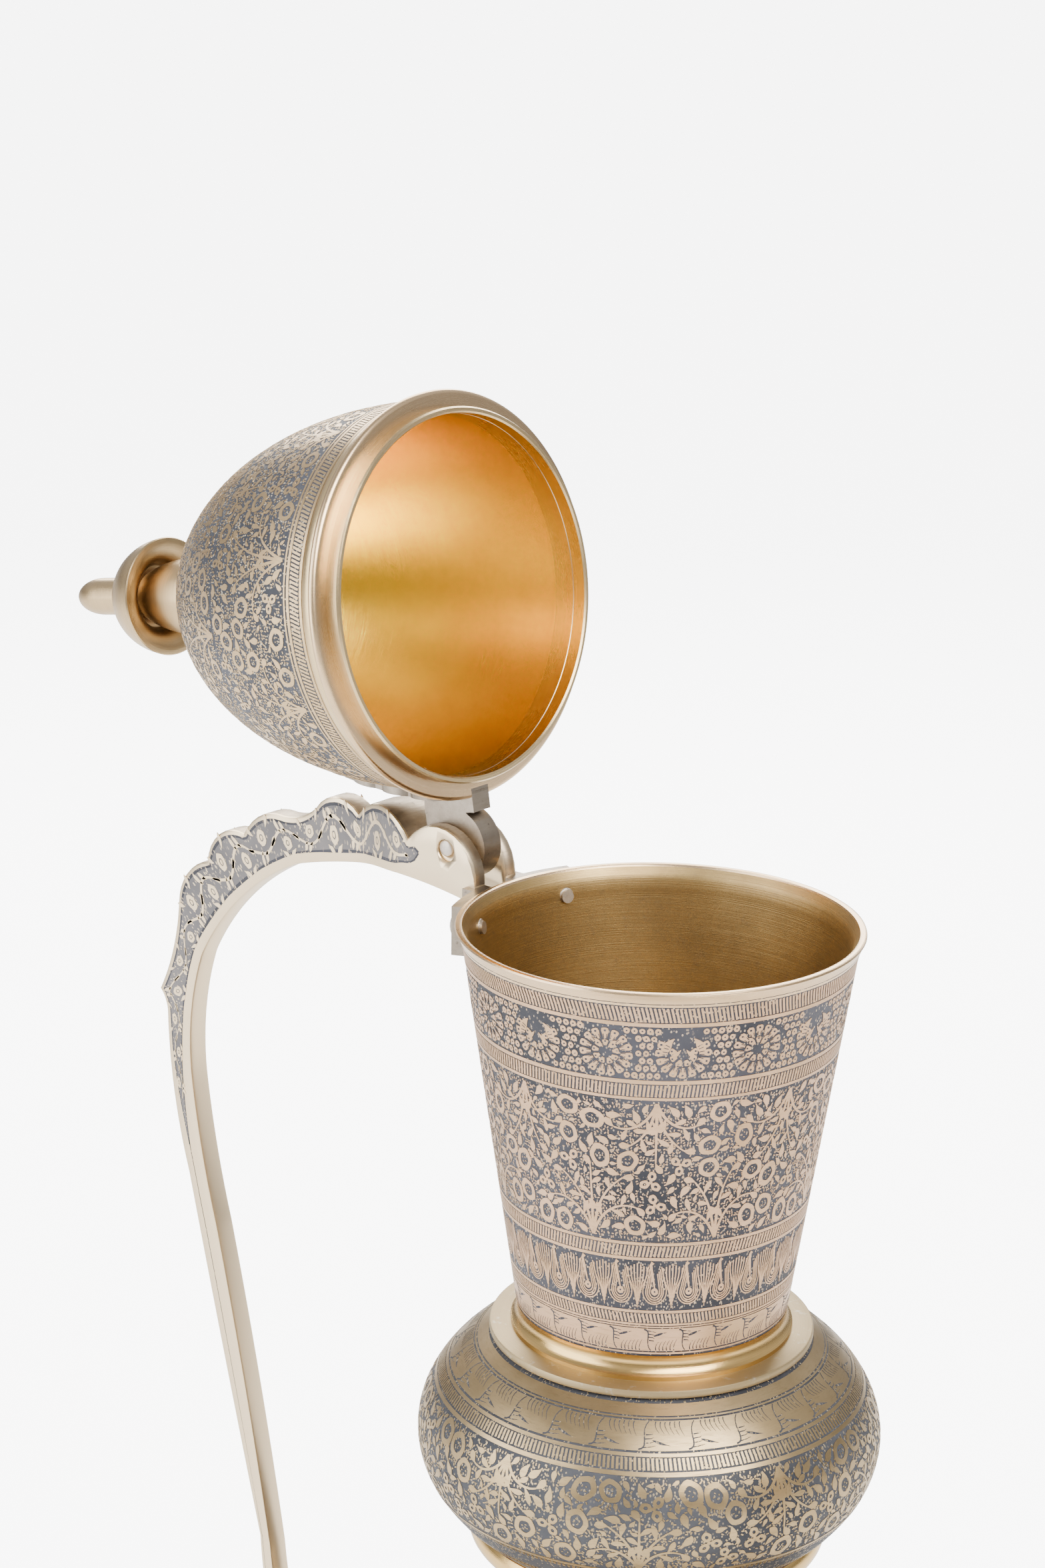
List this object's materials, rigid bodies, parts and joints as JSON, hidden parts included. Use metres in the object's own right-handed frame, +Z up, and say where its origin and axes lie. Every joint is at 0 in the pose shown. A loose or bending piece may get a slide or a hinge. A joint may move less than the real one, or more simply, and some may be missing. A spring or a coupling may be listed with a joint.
{
  "type": "lidded ewer",
  "caption": "Engraved brass coffee ewer with a flared mouth cup over a neck bulb, scalloped loop handle, long spout and a tall domed lid hinged open on the handle's fork.",
  "frame": {"origin": "centre of the foot's standing ring, on the table", "axes": "+Z up along the body's axis, -X towards the handle and the lid's hinge, +X towards the spout, Y across"},
  "size_m": [0.3068, 0.1512, 0.3663],
  "materials": {
    "engraved_brass": "chased and inlaid with dark filler, aged",
    "polished_brass": "polished",
    "handle_brass": "filed and brushed, engraved strip",
    "grey_solder_metal": "dull tinned brass",
    "steel_pin": "worn"
  },
  "bodies": {
    "pot": {"foot_rim": "polished_brass", "foot_skirt": "polished_brass", "belly_base": "polished_brass", "belly_lower": "engraved_brass", "belly_upper": "engraved_brass", "belly_band": "polished_brass", "waist_neck": "engraved_brass", "waist_collar": "polished_brass", "neck_bulb": "engraved_brass", "collar_flange": "polished_brass", "neck_fillet": "polished_brass", "mouth_cup": "engraved_brass", "rim_bracket": "grey_solder_metal", "bracket_rivets": "steel_pin", "handle": "handle_brass", "handle_pad": "handle_brass", "pad_rivets": "steel_pin", "hinge_pin": "steel_pin", "spout_socket": "polished_brass", "spout_root": "polished_brass", "spout_elbow": "polished_brass", "spout_leg": "engraved_brass", "spout_crook": "polished_brass", "spout_beak": "polished_brass", "spout_lip": "polished_brass"},
    "lid": {"lid_dome": "engraved_brass", "lid_edge_band": "polished_brass", "lid_bead": "polished_brass", "lid_locating_lip": "polished_brass", "lid_strap": "grey_solder_metal", "strap_rivets": "steel_pin", "finial_stem": "polished_brass", "finial_dish": "polished_brass", "finial_tip": "polished_brass", "finial_stud": "steel_pin", "stud_washer": "steel_pin"}
  },
  "joints": [
    {"name": "lid_hinge", "type": "hinge", "parent": "pot", "child": "lid", "pos_m": [-0.0474, 0, 0.2809], "axis": [0, 1, 0], "range_deg": [0, 99.3]}
  ]
}
